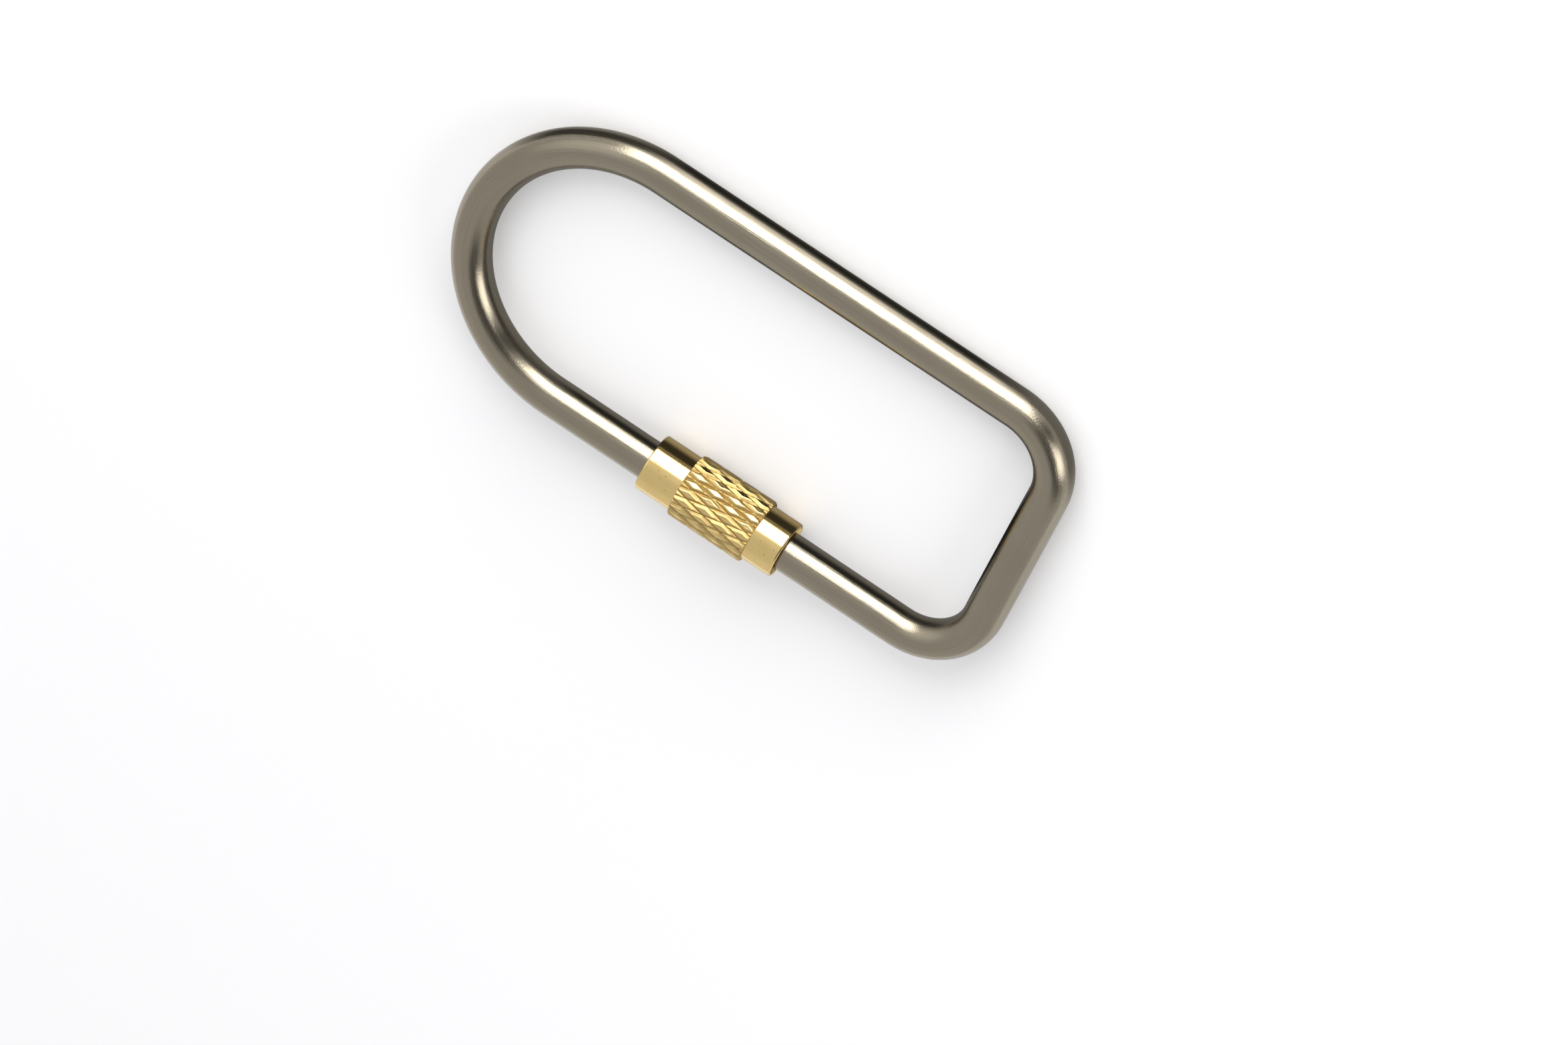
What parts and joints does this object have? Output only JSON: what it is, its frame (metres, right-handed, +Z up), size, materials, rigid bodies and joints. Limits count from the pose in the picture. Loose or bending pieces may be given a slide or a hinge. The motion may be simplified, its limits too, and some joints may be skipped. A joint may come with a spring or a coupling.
{
  "type": "screw lock key ring",
  "caption": "Elongated key ring of bent steel wire, closed by a knurled brass sleeve that unscrews and runs back along the leg to open a gap for keys.",
  "frame": {"origin": "middle of the outline seen from above, at table height: the ring lies flat on its sleeve and its plain leg", "axes": "+X along the two legs towards the squared end, +Y across from the sleeve's leg to the plain leg, +Z up"},
  "size_m": [0.0486, 0.0256, 0.005],
  "materials": {
    "wire": "satin nickel over steel wire",
    "tip": "turned, bright",
    "ring": "turned, dull",
    "sleeve": "polished, with a knurled band"
  },
  "bodies": {
    "loop": {"wire_loop": "wire", "threaded_tip": "tip"},
    "stop": {"stop_ring": "ring"},
    "sleeve": {"lock_sleeve": "sleeve"}
  },
  "joints": [
    {"name": "sleeve_turn", "type": "hinge", "parent": "loop", "child": "stop", "pos_m": [-0.00112, -0.01035, 0.0025], "axis": [-1, 0, 0], "range_deg": [0, 4801]},
    {"name": "sleeve_run", "type": "slide", "parent": "stop", "child": "sleeve", "axis": [-1, 0, 0], "range_m": [0, 0.008]}
  ],
  "couplings": [
    {"joint": "sleeve_turn", "follows": "sleeve_run", "rad_per_m": 10472}
  ]
}
